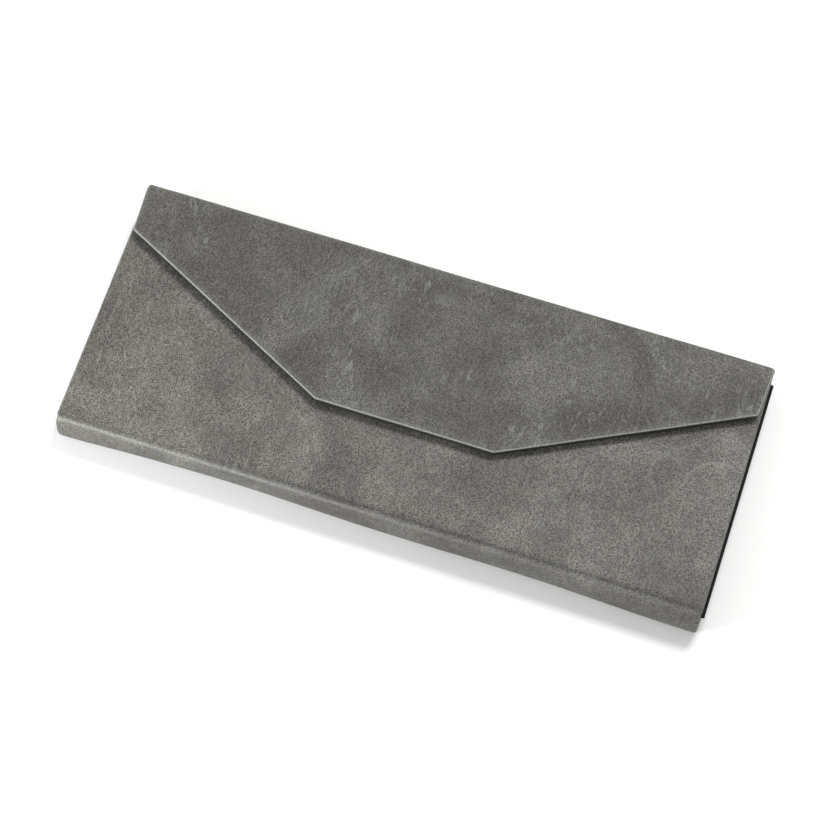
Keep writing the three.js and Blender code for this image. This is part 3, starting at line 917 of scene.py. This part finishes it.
def hingeTapeTree(material):
    # a strip of cloth that lies on the panel, rolls round the hinge edge and comes back under
    tree = bpy.data.node_groups.new("hinge_tape", "GeometryNodeTree")
    tree.interface.new_socket("Geometry", in_out="OUTPUT", socket_type="NodeSocketGeometry")
    for name in ("Length", "Radius", "Flange", "Tab"):
        tree.interface.new_socket(name, in_out="INPUT", socket_type="NodeSocketFloat")
    tree.interface.new_socket("Place", in_out="INPUT", socket_type="NodeSocketVector")
    tree.interface.new_socket("Facing", in_out="INPUT", socket_type="NodeSocketVector")
    sizes = addNode(tree, "NodeGroupInput").outputs
    grid = addNode(tree, "GeometryNodeMeshGrid", {"Size X": 1.0, "Size Y": 1.0,
                                                  "Vertices X": gussetCloth["across"],
                                                  "Vertices Y": gussetCloth["along"]})
    flat = addNode(tree, "GeometryNodeInputPosition")
    spot = addNode(tree, "ShaderNodeSeparateXYZ", {}, {0: flat})

    # the glued parts are cut back to under a third of their width at both ends, clear of the strips
    fromMiddle = addNode(tree, "ShaderNodeMath", {"operation": "ABSOLUTE"}, {0: spot.outputs[1]})
    cutBack = addNode(tree, "ShaderNodeMapRange", {"From Min": 0.415, "From Max": 0.465, "To Min": -1.0,
                                                   "To Max": -0.3}, {"Value": fromMiddle})
    flangeEdge = addNode(tree, "ShaderNodeMath", {"operation": "MULTIPLY"},
                         {0: sizes["Flange"], 1: cutBack})
    tabEdge = addNode(tree, "ShaderNodeMath", {"operation": "MULTIPLY"}, {0: sizes["Tab"], 1: cutBack})
    flange = addNode(tree, "ShaderNodeMapRange", {"From Min": -0.5, "From Max": -1 / 6, "To Max": 0.0},
                     {"Value": spot.outputs[0], "To Min": flangeEdge})
    roll = addNode(tree, "ShaderNodeMapRange", {"From Min": -1 / 6, "From Max": 1 / 6, "To Max": math.pi},
                   {"Value": spot.outputs[0]})
    tab = addNode(tree, "ShaderNodeMapRange", {"From Min": 1 / 6, "From Max": 0.5},
                  {"Value": spot.outputs[0], "To Max": tabEdge})
    sine = addNode(tree, "ShaderNodeMath", {"operation": "SINE"}, {0: roll})
    cosine = addNode(tree, "ShaderNodeMath", {"operation": "COSINE"}, {0: roll})
    x = addNode(tree, "ShaderNodeMath", {"operation": "MULTIPLY_ADD"},
                {0: sine, 1: sizes["Radius"], 2: flange})
    x = addNode(tree, "ShaderNodeMath", {"operation": "ADD"}, {0: x, 1: tab})
    fromTop = addNode(tree, "ShaderNodeMath", {"operation": "SUBTRACT", 0: -0.5}, {1: spot.outputs[1]})
    y = addNode(tree, "ShaderNodeMath", {"operation": "MULTIPLY"}, {0: fromTop, 1: sizes["Length"]})
    z = addNode(tree, "ShaderNodeMath", {"operation": "MULTIPLY"}, {0: cosine, 1: sizes["Radius"]})
    folded = addNode(tree, "ShaderNodeCombineXYZ", {}, {0: x, 1: y, 2: z})
    shaped = addNode(tree, "GeometryNodeSetPosition", {}, {"Geometry": grid.outputs["Mesh"],
                                                           "Position": folded})
    placed = addNode(tree, "GeometryNodeTransform", {}, {"Geometry": shaped,
                                                         "Translation": sizes["Place"],
                                                         "Scale": sizes["Facing"]})
    kept = addNode(tree, "GeometryNodeStoreNamedAttribute",
                   {"data_type": "FLOAT_VECTOR", "domain": "POINT", "Name": "hide"},
                   {"Geometry": placed, "Value": addNode(tree, "GeometryNodeInputPosition")})
    real = addNode(tree, "GeometryNodeRealizeInstances", {}, {"Geometry": kept})
    dressed = addNode(tree, "GeometryNodeSetMaterial", {"Material": material}, {"Geometry": real})
    addNode(tree, "NodeGroupOutput", {}, {"Geometry": dressed})
    return tree


def hingeTape(name, tree, values):
    piece = newMesh(name, [], [])
    nodes = piece.modifiers.new("tape", "NODES")
    nodes.node_group = tree
    for item in tree.interface.items_tree:
        if item.in_out == "INPUT":
            nodes[item.identifier] = values[item.name]
    wall = piece.modifiers.new("wall", "SOLIDIFY")
    wall.thickness = gussetCloth["tapeThickness"]
    wall.offset = 0.0
    bakeModifiers(piece)
    facesOutward(piece)
    smoothBelow(piece, 40)
    return piece


tapeTree = hingeTapeTree(bookCloth)
for wallName, faceZ, inwards in (("base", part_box("base_cover")[0].z, -1), ("front", frontBox[1].z, 1)):
    for sideName, sign in (("left", -1), ("right", 1)):
        body = wallName + "_gusset_" + sideName
        low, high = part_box(body + "_cloth")
        outerX = max(abs(low.x), abs(high.x))
        reach = outerX - min(abs(low.x), abs(high.x))
        corners = [Vector((sign * outerX, high.y)), Vector((sign * outerX, low.y)),
                   Vector((sign * (outerX - reach), high.y - reach / math.tan(gussetCloth["angle"])))]
        corners = [Vector((c.x - sign * gussetCloth["setBack"], c.y)) for c in corners]
        if sign > 0:
            corners.reverse()
        near = faceZ + inwards * gussetCloth["pouchRoom"]
        far = (low.z if inwards < 0 else high.z) - inwards * gussetCloth["pouchShort"]
        cloth = pouch(body + "_pouch", corners, min(near, far), max(near, far))
        finishPiece(cloth, bookCloth)
        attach(cloth, body)
        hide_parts(body + "_cloth")

        half = gussetCloth["tapeThickness"] / 2
        tapeNear, tapeFar = faceZ + inwards * half, far + inwards * half
        radius = abs(tapeNear - tapeFar) / 2
        past = gussetCloth["pastCorner"][sideName]
        values = {"Length": high.y - low.y + 2 * past, "Radius": radius, "Flange": gussetCloth["flange"],
                  "Tab": gussetCloth["tab"],
                  "Place": (sign * (outerX - half - radius), high.y + past, (tapeNear + tapeFar) / 2),
                  "Facing": (float(sign), 1.0, float(-inwards))}
        tape = hingeTape(body + "_tape", tapeTree, values)
        finishPiece(tape, bookCloth)
        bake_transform(tape)
print("gussets made")


# boards, stiffener, cards and magnets stay as they are, with better materials
for name, node in frame["nodes"].items():
    if "_magnet_" in name:
        better = nickel
    elif name.endswith(("_board", "_stiffener", "_card")):
        better = board
    else:
        continue
    for slot in node.material_slots:
        slot.link = "OBJECT"
        slot.material = better
print("boards, cards and magnets finished")

stage = {
    "floor": "fbfbfa",
    "floorHalf": 3.0,
    "floorDrop": 0.1 * mm,
    "world": "ffffff",
    "worldStrength": 0.5,
    "lights": {
        "top": {"place": (0.12, 0.36, 0.68), "aim": (0, 0, 0), "size": (0.24, 0.2),
                "watts": 4.2, "colour": "ffffff"},
        "side": {"place": (-0.24, -0.22, 0.11), "aim": (-0.02, -0.02, 0), "size": (0.12, 0.12),
                 "watts": 1.02, "colour": "fbfdff"},
    },
}


def softLight(name, place, aim, size, watts, colour):
    lamp = bpy.data.lights.new(name, "AREA")
    lamp.color = linearColour(colour)[:3]
    lamp.shape = "RECTANGLE"
    lamp.size, lamp.size_y = size
    lamp.energy = watts
    holder = bpy.data.objects.new(name, lamp)
    bpy.context.scene.collection.objects.link(holder)
    holder.location = place
    holder.rotation_euler = (Vector(aim) - Vector(place)).to_track_quat("-Z", "Y").to_euler()


def whitePaper():
    material, _, shader = newMaterial("white_paper")
    shader.inputs["Base Color"].default_value = linearColour(stage["floor"])
    shader.inputs["Roughness"].default_value = 0.9
    return material


half = stage["floorHalf"]
floor = newMesh("floor", [(-half, -half, 0), (half, -half, 0), (half, half, 0), (-half, half, 0)],
                [(0, 1, 2, 3)])
floor.location.z = cadBox[0].z - stage["floorDrop"]
floor.data.materials.append(whitePaper())

world = bpy.data.worlds.new("studio")
world.use_nodes = True
world.node_tree.nodes["Background"].inputs["Color"].default_value = linearColour(stage["world"])
world.node_tree.nodes["Background"].inputs["Strength"].default_value = stage["worldStrength"]
bpy.context.scene.world = world
bpy.context.scene.view_settings.view_transform = "Standard"
for name, light in stage["lights"].items():
    softLight(name, **light)

view = {"azimuth": 18.15, "elevation": 67.58, "distance": 0.6628, "lens": 116.1,
        "aim": (-1.57 * mm, -0.09 * mm, 0.0)}
camera = bpy.data.objects.new("camera", bpy.data.cameras.new("camera"))
bpy.context.scene.collection.objects.link(camera)
around, above = math.radians(view["azimuth"]), math.radians(view["elevation"])
back = Vector((math.sin(around) * math.cos(above), -math.cos(around) * math.cos(above), math.sin(above)))
camera.location = Vector(view["aim"]) + back * view["distance"]
camera.rotation_euler = (-back).to_track_quat("-Z", "Y").to_euler()
camera.data.lens = view["lens"]
camera.data.sensor_width = 36.0
camera.data.clip_start, camera.data.clip_end = 0.01, 20.0
bpy.context.scene.camera = camera
print("stage set")
